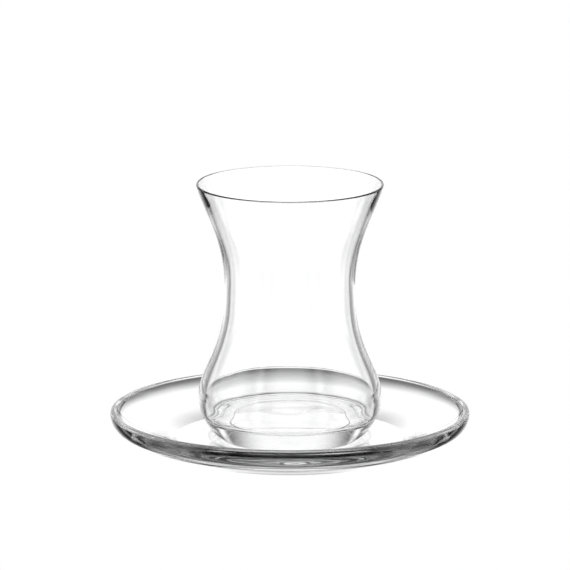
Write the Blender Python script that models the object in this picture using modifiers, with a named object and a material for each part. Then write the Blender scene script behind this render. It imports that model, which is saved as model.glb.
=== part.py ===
"""Tulip-shaped tea glass standing in the well of its round glass saucer.

Metres, +Z up. The origin is the centre of the saucer's foot, on the surface it stands on.
Both pieces are turned: half a section is drawn in the XZ plane and swept round the Z axis.
"""

from math import cos, pi, radians, sin

import bpy
from mathutils import Vector

MM = 0.001

# Saucer, outside and height
SAUCER_RADIUS = 57.8 * MM
SAUCER_HEIGHT = 13.0 * MM
LIP_RADIUS = 1.2 * MM             # roundness of the lip over its widest line
LIP_UNDER_RADIUS = 5.7 * MM       # roundness of the lip below its widest line
LIP_UNDER_TURN = 59.5             # degrees of that lower round
LIP_INNER_TURN = 147.0            # degrees of the upper round, from outside to inside

# Saucer, underside
FOOT_RADIUS = 37.1 * MM
FOOT_RISE = 19.8                  # degrees that the underside climbs from the foot
FOOT_EDGE = 0.3 * MM
FOOT_RING_WIDTH = 8.0 * MM        # flat that the saucer stands on
RECESS_HEIGHT = 0.4 * MM          # hollow inside the foot ring
RECESS_SLOPE = 8.0 * MM
UNDER_HANDLE_FOOT = 13.0 * MM
UNDER_HANDLE_LIP = 5.8 * MM

# Saucer, upper side
WELL_RADIUS = 26.0 * MM           # round place for the glass
WELL_FLOOR = 3.9 * MM
WELL_STEP = 0.3 * MM
WELL_STEP_WIDTH = 1.0 * MM
WALL_FALL = 50.0                  # degrees that the inner wall falls at the lip
WALL_HANDLE = 7.0 * MM
DISH_HANDLE = 11.0 * MM
DISH_TILT = 1.0                   # degrees that the dish rises at first

# Glass, outside: radius and height over the table at each station
GLASS_GAP = 0.3 * MM              # clearance between the glass and the well
BASE_RADIUS = 22.4 * MM
BASE_EDGE = 0.9 * MM
BASE_RISE = 36.6                  # degrees that the side leaves the base at
BELLY = (29.5 * MM, 17.1 * MM)
WAIST = (20.9 * MM, 52.0 * MM)
RIM = (30.0 * MM, 86.4 * MM)
RIM_FLARE = 16.0                  # degrees out from upright
BASE_HANDLE = 5.7 * MM
BELLY_HANDLES = (3.5 * MM, 9.7 * MM)      # below and above the belly
WAIST_HANDLES = (20.5 * MM, 17.2 * MM)    # below and above the waist
RIM_HANDLE = 9.9 * MM

# Glass, inside
WALL_AT_RIM = 0.8 * MM
INNER_BELLY = (26.9 * MM, 17.8 * MM)
INNER_WAIST = (19.05 * MM, 52.1 * MM)
INNER_BELLY_HANDLE = 8.1 * MM             # above the belly
INNER_WAIST_HANDLES = (20.4 * MM, 16.4 * MM)
INNER_RIM_HANDLE = 6.1 * MM
FLOOR_THICKNESS = 8.4 * MM                # at the middle
FLOOR_DOME = 1.5 * MM                     # rise of the inside floor from its edge to its middle
FLOOR_RADIUS = 21.8 * MM
FLOOR_FALL = 7.7                          # degrees that the floor falls outward at its edge
FLOOR_TURN = 2.8 * MM                     # handle that turns the floor up into the wall
CAVITY_HANDLE = 9.3 * MM
FLOOR_HANDLES = (0.5, 0.35)               # shares of the floor's radius, middle and edge
PUNT_RADIUS = 18.1 * MM                   # shallow hollow under the base
PUNT_DEPTH = 0.6 * MM
PUNT_SLOPE = 0.25 * MM

# Facets along each curve of the sections, and round the axis
FLOOR_FACETS = 4
CORNER_FACETS = 6
BELLY_FACETS = 7
FLARE_FACETS = 6
RIM_FACETS = 4
BASE_FACETS = 6
EDGE_FACETS = 3
STEP_FACETS = 4
DISH_FACETS = 10
LIP_FACETS = 6
UNDER_LIP_FACETS = 4
UNDERSIDE_FACETS = 7
GLASS_STEPS = 60
SAUCER_STEPS = 72

CORNER_SHARE = 0.55                       # handle length of a rounded corner, to its size
MERGE_DISTANCE = 0.00001
CLEAR_GLASS = (0.93, 0.95, 0.95, 1.0)
GLASS_ROUGHNESS = 0.02
GLASS_IOR = 1.52

OUT = Vector((1.0, 0.0))
UP = Vector((0.0, 1.0))


def polar(length, degrees):
    """A step of this length in the section plane, turned up from +X."""
    return Vector((length * cos(radians(degrees)), length * sin(radians(degrees))))


def bezier(start, start_handle, end_handle, end, facets):
    """Points of a cubic curve after its start point."""
    points = []
    for i in range(1, facets + 1):
        t = i / facets
        s = 1.0 - t
        near = start * s**3 + start_handle * 3 * s * s * t
        points.append(near + end_handle * 3 * s * t * t + end * t**3)
    return points


def arc(centre, radius, from_degrees, to_degrees, facets):
    """Points of a circular arc after its start point."""
    span = to_degrees - from_degrees
    return [centre + polar(radius, from_degrees + span * i / facets) for i in range(1, facets + 1)]


def level_step(start, end, facets):
    """Points of a step that leaves and arrives level."""
    half = OUT * (end.x - start.x) / 2
    return bezier(start, start + half, end - half, end, facets)


def glass_inside(bottom, rim_inner):
    """The inside of the glass, from the middle of its floor up to the rim."""
    belly, waist = Vector(INNER_BELLY), Vector(INNER_WAIST)
    floor = Vector((0.0, bottom + FLOOR_THICKNESS))
    edge = Vector((FLOOR_RADIUS, floor.y - FLOOR_DOME))
    fall = polar(1.0, -FLOOR_FALL)
    from_middle, to_edge = FLOOR_HANDLES
    below_waist, above_waist = INNER_WAIST_HANDLES

    points = [floor]
    middle_handle = floor + OUT * FLOOR_RADIUS * from_middle
    points += bezier(floor, middle_handle, edge - fall * FLOOR_RADIUS * to_edge, edge, FLOOR_FACETS)
    points += bezier(edge, edge + fall * FLOOR_TURN, belly - UP * CAVITY_HANDLE, belly, CORNER_FACETS)
    belly_handle = belly + UP * INNER_BELLY_HANDLE
    points += bezier(belly, belly_handle, waist - UP * below_waist, waist, BELLY_FACETS)
    rim_handle = rim_inner - polar(INNER_RIM_HANDLE, 90.0 - RIM_FLARE)
    points += bezier(waist, waist + UP * above_waist, rim_handle, rim_inner, FLARE_FACETS)
    return points


def glass_section():
    """The glass from the middle of its floor, up inside, over the rim and down to the base."""
    bottom = WELL_FLOOR + GLASS_GAP
    belly, waist, rim = Vector(BELLY), Vector(WAIST), Vector(RIM)
    below_belly, above_belly = BELLY_HANDLES
    below_waist, above_waist = WAIST_HANDLES
    rim_radius = WALL_AT_RIM / 2
    rim_centre = rim - polar(rim_radius, -RIM_FLARE)
    rim_inner = rim_centre - polar(rim_radius, -RIM_FLARE)

    points = glass_inside(bottom, rim_inner)
    points += arc(rim_centre, rim_radius, 180.0 - RIM_FLARE, -RIM_FLARE, RIM_FACETS)
    rim_handle = rim - polar(RIM_HANDLE, 90.0 - RIM_FLARE)
    points += bezier(rim, rim_handle, waist + UP * above_waist, waist, FLARE_FACETS)
    points += bezier(waist, waist - UP * below_waist, belly + UP * above_belly, belly, BELLY_FACETS)

    edge_centre = Vector((BASE_RADIUS, bottom + BASE_EDGE))
    edge_top = edge_centre + polar(BASE_EDGE, BASE_RISE - 90.0)
    edge_handle = edge_top + polar(BASE_HANDLE, BASE_RISE)
    points += bezier(belly, belly - UP * below_belly, edge_handle, edge_top, BASE_FACETS)
    points += arc(edge_centre, BASE_EDGE, BASE_RISE - 90.0, -90.0, EDGE_FACETS)

    points.append(Vector((PUNT_RADIUS + PUNT_SLOPE, bottom)))
    punt_inner = Vector((PUNT_RADIUS - PUNT_SLOPE, bottom + PUNT_DEPTH))
    points += level_step(points[-1], punt_inner, STEP_FACETS)
    points.append(Vector((0.0, punt_inner.y)))
    return points


def saucer_section():
    """The saucer from the middle of its well, out over the lip and back under to the foot."""
    well_inner = Vector((WELL_RADIUS - WELL_STEP_WIDTH, WELL_FLOOR))
    dish_start = Vector((WELL_RADIUS + WELL_STEP_WIDTH, WELL_FLOOR + WELL_STEP))
    lip_centre = Vector((SAUCER_RADIUS - LIP_RADIUS, SAUCER_HEIGHT - LIP_RADIUS))
    wall_top = lip_centre + polar(LIP_RADIUS, LIP_INNER_TURN)
    wall_handle = wall_top + polar(WALL_HANDLE, 180.0 + WALL_FALL)

    points = [Vector((0.0, WELL_FLOOR)), well_inner]
    points += level_step(well_inner, dish_start, STEP_FACETS)
    dish_handle = dish_start + polar(DISH_HANDLE, DISH_TILT)
    points += bezier(dish_start, dish_handle, wall_handle, wall_top, DISH_FACETS)
    points += arc(lip_centre, LIP_RADIUS, LIP_INNER_TURN, 0.0, LIP_FACETS)

    under_centre = Vector((SAUCER_RADIUS - LIP_UNDER_RADIUS, lip_centre.y))
    points += arc(under_centre, LIP_UNDER_RADIUS, 0.0, -LIP_UNDER_TURN, UNDER_LIP_FACETS)
    lip_end = points[-1]
    lip_handle = lip_end + polar(UNDER_HANDLE_LIP, -90.0 - LIP_UNDER_TURN)
    foot_corner = Vector((FOOT_RADIUS, 0.0))
    flank_end = foot_corner + polar(FOOT_EDGE, FOOT_RISE)
    flank_handle = flank_end + polar(UNDER_HANDLE_FOOT, FOOT_RISE)
    points += bezier(lip_end, lip_handle, flank_handle, flank_end, UNDERSIDE_FACETS)

    foot_flat = foot_corner - OUT * FOOT_EDGE
    into_corner = flank_end - polar(FOOT_EDGE * CORNER_SHARE, FOOT_RISE)
    points += bezier(flank_end, into_corner, foot_flat + OUT * FOOT_EDGE * CORNER_SHARE, foot_flat, EDGE_FACETS)
    ring_inner = foot_flat - OUT * FOOT_RING_WIDTH
    points.append(ring_inner)
    recess_top = ring_inner + Vector((-RECESS_SLOPE, RECESS_HEIGHT))
    points += level_step(ring_inner, recess_top, STEP_FACETS)
    points.append(Vector((0.0, RECESS_HEIGHT)))
    return points


def clear_glass(name):
    """Colourless polished glass."""
    material = bpy.data.materials.new(name)
    material.use_nodes = True
    shader = material.node_tree.nodes["Principled BSDF"]
    shader.inputs["Base Color"].default_value = CLEAR_GLASS
    shader.inputs["Metallic"].default_value = 0.0
    shader.inputs["Roughness"].default_value = GLASS_ROUGHNESS
    shader.inputs["Transmission Weight"].default_value = 1.0
    shader.inputs["IOR"].default_value = GLASS_IOR
    return material


def turned_piece(name, section, steps, collection):
    """A solid of revolution made from a half section."""
    mesh = bpy.data.meshes.new(name)
    vertices = [(point.x, 0.0, point.y) for point in section]
    edges = [(i, i + 1) for i in range(len(vertices) - 1)]
    mesh.from_pydata(vertices, edges, [])
    piece = bpy.data.objects.new(name, mesh)
    collection.objects.link(piece)

    screw = piece.modifiers.new("Turn", "SCREW")
    screw.axis = "Z"
    screw.angle = 2 * pi
    screw.steps = steps
    screw.render_steps = steps
    screw.use_merge_vertices = True
    screw.merge_threshold = MERGE_DISTANCE
    screw.use_smooth_shade = True
    mesh.materials.append(clear_glass(name + "_clear"))
    return piece


def main():
    for old in list(bpy.data.objects):
        bpy.data.objects.remove(old, do_unlink=True)
    collection = bpy.data.collections.new("tea_glass_with_saucer")
    bpy.context.scene.collection.children.link(collection)
    turned_piece("tea_glass", glass_section(), GLASS_STEPS, collection)
    turned_piece("saucer", saucer_section(), SAUCER_STEPS, collection)


main()
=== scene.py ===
import math

import bpy
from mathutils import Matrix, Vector


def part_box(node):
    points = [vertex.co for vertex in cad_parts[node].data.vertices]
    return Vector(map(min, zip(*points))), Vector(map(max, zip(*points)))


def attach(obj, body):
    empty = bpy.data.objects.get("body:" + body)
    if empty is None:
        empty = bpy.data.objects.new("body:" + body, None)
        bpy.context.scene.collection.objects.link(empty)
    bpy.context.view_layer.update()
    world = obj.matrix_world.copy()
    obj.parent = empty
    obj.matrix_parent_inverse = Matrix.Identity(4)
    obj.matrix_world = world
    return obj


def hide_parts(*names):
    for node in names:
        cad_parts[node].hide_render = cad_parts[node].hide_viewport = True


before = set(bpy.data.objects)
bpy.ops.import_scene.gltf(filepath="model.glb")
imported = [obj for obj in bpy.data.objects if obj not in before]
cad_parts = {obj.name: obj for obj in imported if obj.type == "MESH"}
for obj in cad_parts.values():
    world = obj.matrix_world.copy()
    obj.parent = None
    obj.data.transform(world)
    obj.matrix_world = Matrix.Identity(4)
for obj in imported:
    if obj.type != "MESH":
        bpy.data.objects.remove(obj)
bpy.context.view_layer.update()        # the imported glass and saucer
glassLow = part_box("tea_glass")[0]
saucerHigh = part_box("saucer")[1]
print("frame loaded:", ", ".join(sorted(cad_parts)))

mm = 0.001
acrossSection = Vector((1.0, 0.0))
upSection = Vector((0.0, 1.0))
roundHandle = 4.0 / 3.0        # for handles that follow an arc, with the tangent of a quarter of its angle
mergeDistance = 0.002 * mm


def step(length, degrees):
    # a step in the section plane, turned up from the outward direction
    return Vector((length * math.cos(math.radians(degrees)), length * math.sin(math.radians(degrees))))


def arcHandle(radius, degrees):
    return roundHandle * math.tan(math.radians(degrees) / 4) * radius


def drawSection(name, anchors, smoothness):
    # anchors: place, handle before, handle after; None leaves that side straight
    bpy.ops.object.select_all(action="DESELECT")
    bpy.ops.curve.primitive_bezier_curve_add(location=(0, 0, 0))
    section = bpy.context.object
    section.name = name
    section.data.dimensions = "3D"
    section.data.resolution_u = smoothness
    points = section.data.splines[0].bezier_points
    points.add(len(anchors) - len(points))
    for point, (place, before, after) in zip(points, anchors):
        point.handle_left_type = "FREE" if before else "VECTOR"
        point.handle_right_type = "FREE" if after else "VECTOR"
        point.co = (place.x, 0, place.y)
        before = before or place
        after = after or place
        point.handle_left = (before.x, 0, before.y)
        point.handle_right = (after.x, 0, after.y)
    bpy.ops.object.convert(target="MESH")
    return bpy.context.object


def spinRound(piece, steps):
    bpy.ops.object.select_all(action="DESELECT")
    piece.select_set(True)
    bpy.context.view_layer.objects.active = piece
    bpy.ops.object.mode_set(mode="EDIT")
    bpy.ops.mesh.select_all(action="SELECT")
    bpy.ops.mesh.spin(steps=steps, angle=2 * math.pi, center=(0, 0, 0), axis=(0, 0, 1))
    bpy.ops.mesh.select_all(action="SELECT")
    bpy.ops.mesh.remove_doubles(threshold=mergeDistance)
    bpy.ops.mesh.normals_make_consistent(inside=False)
    bpy.ops.object.mode_set(mode="OBJECT")
    bpy.ops.object.shade_smooth()


def softenSurface(piece, waves):
    # the slow unevenness that pressed glass cools with
    texture = bpy.data.textures.new(piece.name + "Waves", "CLOUDS")
    texture.noise_scale = waves["size"]
    texture.noise_depth = 1
    displace = piece.modifiers.new("Waves", "DISPLACE")
    displace.texture = texture
    displace.strength = waves["height"]
    displace.mid_level = 0.5
    bpy.ops.object.select_all(action="DESELECT")
    piece.select_set(True)
    bpy.context.view_layer.objects.active = piece
    bpy.ops.object.modifier_apply(modifier=displace.name)


# Tea glass

teaGlass = {
    "baseRadius": 22.4 * mm,
    "baseEdge": 0.9 * mm,
    "baseRise": 36.6,                      # degrees that the side leaves the base at
    "baseHandle": 5.7 * mm,
    "belly": Vector((29.5, 17.1)) * mm,    # radius and height over the table
    "waist": Vector((20.9, 52.0)) * mm,
    "rim": Vector((30.0, 86.4)) * mm,
    "rimFlare": 16.0,                      # degrees out from upright
    "belowBelly": 3.5 * mm,
    "aboveBelly": 9.7 * mm,
    "belowWaist": 20.5 * mm,
    "aboveWaist": 17.2 * mm,
    "belowRim": 9.9 * mm,
    "wallAtRim": 0.8 * mm,
    "innerBelly": Vector((26.9, 17.8)) * mm,
    "innerWaist": Vector((19.05, 52.1)) * mm,
    "aboveInnerBelly": 8.1 * mm,
    "belowInnerWaist": 20.4 * mm,
    "aboveInnerWaist": 16.4 * mm,
    "belowInnerRim": 6.1 * mm,
    "floorThickness": 8.4 * mm,
    "floorDome": 1.5 * mm,                 # rise of the inside floor from its edge to its middle
    "floorEdge": 21.8 * mm,
    "floorFall": 7.7,                      # degrees that the floor falls outward at its edge
    "floorTurn": 2.8 * mm,
    "floorMiddleHandle": 0.5,              # shares of the floor's radius
    "floorEdgeHandle": 0.35,
    "cavityHandle": 9.3 * mm,
    "puntRadius": 18.1 * mm,               # shallow hollow under the base
    "puntDepth": 0.6 * mm,
    "puntSlope": 0.25 * mm,
    "smoothness": 18,
    "turns": 256,
    "waves": {"size": 12.0 * mm, "height": 0.04 * mm},
}


def teaGlassAnchors(g):
    bottom = glassLow[2]
    flare = step(1.0, 90.0 - g["rimFlare"])
    outward = step(1.0, -g["rimFlare"])
    rimRadius = g["wallAtRim"] / 2
    rimMiddle = g["rim"] - outward * rimRadius
    rimInner = rimMiddle - outward * rimRadius
    crest = rimMiddle + flare * rimRadius
    quarter = arcHandle(rimRadius, 90.0)
    floor = Vector((0.0, bottom + g["floorThickness"]))
    floorEdge = Vector((g["floorEdge"], floor.y - g["floorDome"]))
    floorFall = step(1.0, -g["floorFall"])
    belly = g["innerBelly"]
    waist = g["innerWaist"]

    edgeMiddle = Vector((g["baseRadius"], bottom + g["baseEdge"]))
    edgeTop = edgeMiddle + step(g["baseEdge"], g["baseRise"] - 90.0)
    edgeBottom = Vector((g["baseRadius"], bottom))
    rise = step(1.0, g["baseRise"])
    edgeHandle = arcHandle(g["baseEdge"], g["baseRise"])
    puntOuter = Vector((g["puntRadius"] + g["puntSlope"], bottom))
    puntInner = Vector((g["puntRadius"] - g["puntSlope"], bottom + g["puntDepth"]))
    slope = acrossSection * g["puntSlope"]

    return [
        (floor, None, floor + acrossSection * g["floorEdge"] * g["floorMiddleHandle"]),
        (floorEdge, floorEdge - floorFall * g["floorEdge"] * g["floorEdgeHandle"],
         floorEdge + floorFall * g["floorTurn"]),
        (belly, belly - upSection * g["cavityHandle"], belly + upSection * g["aboveInnerBelly"]),
        (waist, waist - upSection * g["belowInnerWaist"], waist + upSection * g["aboveInnerWaist"]),
        (rimInner, rimInner - flare * g["belowInnerRim"], rimInner + flare * quarter),
        (crest, crest - outward * quarter, crest + outward * quarter),
        (g["rim"], g["rim"] + flare * quarter, g["rim"] - flare * g["belowRim"]),
        (g["waist"], g["waist"] + upSection * g["aboveWaist"], g["waist"] - upSection * g["belowWaist"]),
        (g["belly"], g["belly"] + upSection * g["aboveBelly"], g["belly"] - upSection * g["belowBelly"]),
        (edgeTop, edgeTop + rise * g["baseHandle"], edgeTop - rise * edgeHandle),
        (edgeBottom, edgeBottom + acrossSection * edgeHandle, None),
        (puntOuter, None, puntOuter - slope),
        (puntInner, puntInner + slope, None),
        (Vector((0.0, puntInner.y)), None, None),
    ]


cup = drawSection("teaGlassBody", teaGlassAnchors(teaGlass), teaGlass["smoothness"])
spinRound(cup, teaGlass["turns"])
softenSurface(cup, teaGlass["waves"])
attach(cup, "root")
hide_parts("tea_glass")
print("tea glass turned:", len(cup.data.polygons), "faces")


# Saucer

saucer = {
    "lipRadius": 1.2 * mm,
    "lipUnderRadius": 5.7 * mm,
    "lipUnderTurn": 59.5,       # degrees of the lower round
    "lipInnerTurn": 147.0,      # degrees of the upper round, from outside to inside
    "wallFall": 50.0,           # degrees that the inner wall falls at the lip
    "wallHandle": 7.0 * mm,
    "dishHandle": 11.0 * mm,
    "dishTilt": 1.0,            # degrees that the dish rises at first
    "wellRadius": 26.0 * mm,
    "wellFloor": 3.9 * mm,
    "wellStep": 0.3 * mm,
    "wellSlope": 1.0 * mm,
    "footRadius": 37.1 * mm,
    "footRise": 19.8,           # degrees that the underside climbs from the foot
    "footEdge": 0.3 * mm,
    "footHandle": 0.55,         # share of the foot's edge
    "footRing": 8.0 * mm,
    "recess": 0.4 * mm,
    "recessSlope": 8.0 * mm,
    "underHandleLip": 5.8 * mm,
    "underHandleFoot": 13.0 * mm,
    "smoothness": 16,
    "turns": 288,
    "waves": {"size": 14.0 * mm, "height": 0.06 * mm},
}


def saucerAnchors(s):
    radius = saucerHigh[0]
    height = saucerHigh[2]
    lipMiddle = Vector((radius - s["lipRadius"], height - s["lipRadius"]))
    lipOuter = Vector((radius, lipMiddle.y))
    lipTop = Vector((lipMiddle.x, height))
    wallTop = lipMiddle + step(s["lipRadius"], s["lipInnerTurn"])
    topQuarter = arcHandle(s["lipRadius"], 90.0)
    innerTurn = arcHandle(s["lipRadius"], s["lipInnerTurn"] - 90.0)
    fall = step(1.0, 180.0 + s["wallFall"])
    arcFall = step(1.0, s["lipInnerTurn"] + 90.0)

    underMiddle = Vector((radius - s["lipUnderRadius"], lipMiddle.y))
    underEnd = underMiddle + step(s["lipUnderRadius"], -s["lipUnderTurn"])
    underTurn = arcHandle(s["lipUnderRadius"], s["lipUnderTurn"])
    underFall = step(1.0, -90.0 - s["lipUnderTurn"])

    wellInner = Vector((s["wellRadius"] - s["wellSlope"], s["wellFloor"]))
    dishStart = Vector((s["wellRadius"] + s["wellSlope"], s["wellFloor"] + s["wellStep"]))
    slope = acrossSection * s["wellSlope"]

    footCorner = Vector((s["footRadius"], 0.0))
    footRise = step(1.0, s["footRise"])
    flankEnd = footCorner + footRise * s["footEdge"]
    footFlat = footCorner - acrossSection * s["footEdge"]
    footTurn = s["footEdge"] * s["footHandle"]
    ringInner = footFlat - acrossSection * s["footRing"]
    recessTop = ringInner + Vector((-s["recessSlope"], s["recess"]))
    halfRecess = acrossSection * s["recessSlope"] / 2

    return [
        (Vector((0.0, s["wellFloor"])), None, None),
        (wellInner, None, wellInner + slope),
        (dishStart, dishStart - slope, dishStart + step(s["dishHandle"], s["dishTilt"])),
        (wallTop, wallTop + fall * s["wallHandle"], wallTop - arcFall * innerTurn),
        (lipTop, lipTop - acrossSection * innerTurn, lipTop + acrossSection * topQuarter),
        (lipOuter, lipOuter + upSection * topQuarter, lipOuter - upSection * underTurn),
        (underEnd, underEnd - underFall * underTurn, underEnd + underFall * s["underHandleLip"]),
        (flankEnd, flankEnd + footRise * s["underHandleFoot"], flankEnd - footRise * footTurn),
        (footFlat, footFlat + acrossSection * footTurn, None),
        (ringInner, None, ringInner - halfRecess),
        (recessTop, recessTop + halfRecess, None),
        (Vector((0.0, s["recess"])), None, None),
    ]


dish = drawSection("saucerBody", saucerAnchors(saucer), saucer["smoothness"])
spinRound(dish, saucer["turns"])
softenSurface(dish, saucer["waves"])
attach(dish, "root")
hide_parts("saucer")
print("saucer turned:", len(dish.data.polygons), "faces")


# Glass

def glassSkin():
    # slow waves, fine ripple and wear on the resting ring, shared by both glasses
    group = bpy.data.node_groups.new("glassSkin", "ShaderNodeTree")
    for name, value in (("Wave Size", 90.0), ("Ripple Size", 400.0), ("Ripple", 0.15), ("Polish", 0.0),
                        ("Wear", 0.2), ("Wear Height", 0.0), ("Wear Depth", 0.5 * mm),
                        ("Scratch Size", 2500.0), ("Wave Haze", 0.5)):
        socket = group.interface.new_socket(name, in_out="INPUT", socket_type="NodeSocketFloat")
        socket.default_value = value
    for name in ("Relief", "Roughness", "Haze"):
        group.interface.new_socket(name, in_out="OUTPUT", socket_type="NodeSocketFloat")
    nodes = group.nodes
    links = group.links
    given = nodes.new("NodeGroupInput").outputs
    result = nodes.new("NodeGroupOutput").inputs
    place = nodes.new("ShaderNodeTexCoord").outputs["Object"]

    def noise(size, detail):
        node = nodes.new("ShaderNodeTexNoise")
        links.new(place, node.inputs["Vector"])
        links.new(size, node.inputs["Scale"])
        node.inputs["Detail"].default_value = detail
        return node.outputs["Fac"]

    def maths(operation, *values):
        node = nodes.new("ShaderNodeMath")
        node.operation = operation
        for socket, value in zip(node.inputs, values):
            if isinstance(value, (int, float)):
                socket.default_value = value
            else:
                links.new(value, socket)
        return node.outputs[0]

    wave = noise(given["Wave Size"], 1.0)
    ripple = noise(given["Ripple Size"], 2.0)
    links.new(maths("ADD", wave, maths("MULTIPLY", ripple, given["Ripple"])), result["Relief"])

    split = nodes.new("ShaderNodeSeparateXYZ")
    links.new(place, split.inputs[0])
    overRing = maths("SUBTRACT", split.outputs["Z"], given["Wear Height"])
    overRing = maths("DIVIDE", overRing, given["Wear Depth"])
    worn = maths("SUBTRACT", 1.0, maths("MINIMUM", maths("MAXIMUM", overRing, 0.0), 1.0))
    scratched = maths("MULTIPLY", worn, noise(given["Scratch Size"], 3.0))
    rough = maths("ADD", given["Polish"], maths("MULTIPLY", scratched, given["Wear"]))
    links.new(rough, result["Roughness"])
    links.new(maths("MAXIMUM", scratched, maths("MULTIPLY", wave, given["Wave Haze"])), result["Haze"])
    return group


skin = glassSkin()


def glassMaterial(name, values):
    material = bpy.data.materials.new(name)
    material.use_nodes = True
    nodes = material.node_tree.nodes
    links = material.node_tree.links
    shader = nodes["Principled BSDF"]
    surface = nodes.new("ShaderNodeGroup")
    surface.node_tree = skin
    for socket, value in values["skin"].items():
        surface.inputs[socket].default_value = value
    bump = nodes.new("ShaderNodeBump")
    bump.inputs["Strength"].default_value = 1.0
    bump.inputs["Distance"].default_value = values["relief"]
    links.new(surface.outputs["Relief"], bump.inputs["Height"])
    links.new(bump.outputs["Normal"], shader.inputs["Normal"])
    links.new(surface.outputs["Roughness"], shader.inputs["Roughness"])
    tint = nodes.new("ShaderNodeMix")
    tint.data_type = "RGBA"
    tint.inputs["A"].default_value = values["tint"]
    tint.inputs["B"].default_value = values["haze"]
    links.new(surface.outputs["Haze"], tint.inputs["Factor"])
    links.new(tint.outputs["Result"], shader.inputs["Base Color"])
    shader.inputs["Metallic"].default_value = 0.0
    shader.inputs["Transmission Weight"].default_value = 1.0
    shader.inputs["IOR"].default_value = values["ior"]
    return material


cup.data.materials.append(glassMaterial("drinkingGlass", {
    "tint": (1.0, 1.0, 1.0, 1.0),
    "haze": (0.985, 0.99, 0.99, 1.0),
    "ior": 1.52,
    "relief": 0.006 * mm,
    "skin": {"Wave Size": 95.0, "Ripple Size": 380.0, "Ripple": 0.1, "Wear": 0.22,
             "Wear Height": glassLow[2], "Wear Depth": 0.3 * mm},
}))
dish.data.materials.append(glassMaterial("pressedGlass", {
    "tint": (1.0, 1.0, 1.0, 1.0),
    "haze": (0.98, 0.988, 0.986, 1.0),
    "ior": 1.52,
    "relief": 0.01 * mm,
    "skin": {"Wave Size": 110.0, "Ripple Size": 420.0, "Ripple": 0.15, "Wear": 0.3,
             "Wear Height": 0.0, "Wear Depth": 0.4 * mm},
}))
print("glass mixed")


# Studio

studio = {
    "floorSize": 12.0,
    "floorDrop": 0.1 * mm,
    "floorLight": 1.0,          # a light table, so nothing throws a shadow
    "white": 1.0,               # what the camera sees of the room
    "level": 1.15,              # backdrops, brighter than the white of the picture
    "quarter": 45.0,            # degrees from the middle of a backdrop to half way to the next
    "backdropHalf": 12.0,       # degrees from the middle of a backdrop to where it starts to fade
    "backdropSoft": 28.0,
    "sideDark": 0.95,           # the dark studio between two backdrops
    "sideFoot": -40.0,          # degrees over the horizon where the pale table takes over
    "diagonal": 9.0,            # degrees of a narrow bright gap half way between two backdrops
    "tableEdgeAt": -34.0,       # where the pale table ends and a dim gap starts
    "tableEdgeWidth": 3.0,
    "gapTop": -17.0,            # where that gap has faded into the backdrops
    "gapDark": 0.85,
    "ceiling": 0.08,
    "ceilingFrom": 35.0,
    "table": 0.85,
    "tableFrom": -60.0,
    "softBand": 15.0,           # degrees each side over which foot, ceiling and table fade in
    "lens": 424.9,
    "sensor": 36.0,
    "cameraPlace": Vector((-0.00158, -2.1067, 0.5109)),
    "cameraTilt": 12.245,       # degrees down
    "cameraReach": 20.0,
    "bounces": 24,
    "mirrorBounces": 12,
}

bpy.ops.object.select_all(action="DESELECT")
bpy.ops.mesh.primitive_plane_add(size=studio["floorSize"], location=(0, 0, -studio["floorDrop"]))
floor = bpy.context.object
floor.name = "studioFloor"
floor.visible_transmission = False
floor.visible_glossy = False
floorPaint = bpy.data.materials.new("paleFloor")
floorPaint.use_nodes = True
floorShader = floorPaint.node_tree.nodes["Principled BSDF"]
floorShader.inputs["Base Color"].default_value = (0.0, 0.0, 0.0, 1.0)
floorShader.inputs["Specular IOR Level"].default_value = 0.0
floorShader.inputs["Emission Color"].default_value = (1.0, 1.0, 1.0, 1.0)
floorShader.inputs["Emission Strength"].default_value = studio["floorLight"]
floor.data.materials.append(floorPaint)


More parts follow.
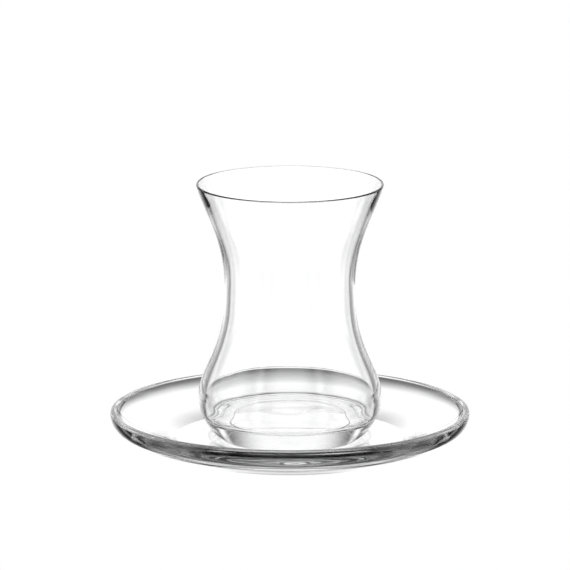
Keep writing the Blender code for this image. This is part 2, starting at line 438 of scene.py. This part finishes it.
def studioLight(s):
    world = bpy.data.worlds.new("studioRoom")
    bpy.context.scene.world = world
    world.use_nodes = True
    nodes = world.node_tree.nodes
    links = world.node_tree.links
    nodes.clear()

    def feed(socket, value):
        if isinstance(value, (int, float)):
            socket.default_value = value
        else:
            links.new(value, socket)

    def maths(operation, *values):
        node = nodes.new("ShaderNodeMath")
        node.operation = operation
        for socket, value in zip(node.inputs, values):
            feed(socket, value)
        return node.outputs[0]

    def fade(value, start, end):
        # 0 at start, 1 at end
        node = nodes.new("ShaderNodeMapRange")
        node.interpolation_type = "SMOOTHSTEP"
        feed(node.inputs["Value"], value)
        feed(node.inputs["From Min"], start)
        feed(node.inputs["From Max"], end)
        return node.outputs[0]

    def blend(factor, first, second):
        node = nodes.new("ShaderNodeMix")
        feed(node.inputs["Factor"], factor)
        feed(node.inputs["A"], first)
        feed(node.inputs["B"], second)
        return node.outputs["Result"]

    where = nodes.new("ShaderNodeTexCoord")
    split = nodes.new("ShaderNodeSeparateXYZ")
    links.new(where.outputs["Generated"], split.inputs[0])
    around = maths("DEGREES", maths("ARCTAN2", split.outputs["X"], split.outputs["Y"]))
    height = maths("DEGREES", maths("ARCSINE", split.outputs["Z"]))
    aside = maths("PINGPONG", maths("ABSOLUTE", around), s["quarter"])

    soft = s["softBand"]
    side = fade(aside, s["backdropHalf"], s["backdropHalf"] + s["backdropSoft"])
    side = maths("MULTIPLY", side, fade(height, s["sideFoot"] - soft, s["sideFoot"] + soft))
    side = maths("MULTIPLY", side, fade(aside, s["quarter"], s["quarter"] - s["diagonal"]))
    gap = fade(height, s["tableEdgeAt"] - s["tableEdgeWidth"], s["tableEdgeAt"])
    gap = maths("MULTIPLY", gap, fade(height, s["gapTop"], s["tableEdgeAt"]))
    light = maths("SUBTRACT", 1.0, maths("MULTIPLY", side, s["sideDark"]))
    light = maths("MULTIPLY", light, maths("SUBTRACT", 1.0, maths("MULTIPLY", gap, s["gapDark"])))
    light = maths("MULTIPLY", light, s["level"])
    light = blend(fade(height, s["ceilingFrom"] - soft, s["ceilingFrom"] + soft), light, s["ceiling"])
    light = blend(fade(height, s["tableFrom"] + soft, s["tableFrom"] - soft), light, s["table"])
    seen = nodes.new("ShaderNodeLightPath")
    light = blend(seen.outputs["Is Camera Ray"], light, s["white"])
    background = nodes.new("ShaderNodeBackground")
    links.new(light, background.inputs["Color"])
    output = nodes.new("ShaderNodeOutputWorld")
    links.new(background.outputs[0], output.inputs["Surface"])


studioLight(studio)

cameraData = bpy.data.cameras.new("photoCamera")
cameraData.lens = studio["lens"]
cameraData.sensor_width = studio["sensor"]
cameraData.clip_end = studio["cameraReach"]
camera = bpy.data.objects.new("photoCamera", cameraData)
bpy.context.scene.collection.objects.link(camera)
camera.location = studio["cameraPlace"]
camera.rotation_euler = (math.radians(90.0 - studio["cameraTilt"]), 0, 0)
bpy.context.scene.camera = camera

scene = bpy.context.scene
scene.view_settings.view_transform = "Standard"
scene.cycles.max_bounces = studio["bounces"]
scene.cycles.transmission_bounces = studio["bounces"]
scene.cycles.glossy_bounces = studio["mirrorBounces"]
print("studio ready")
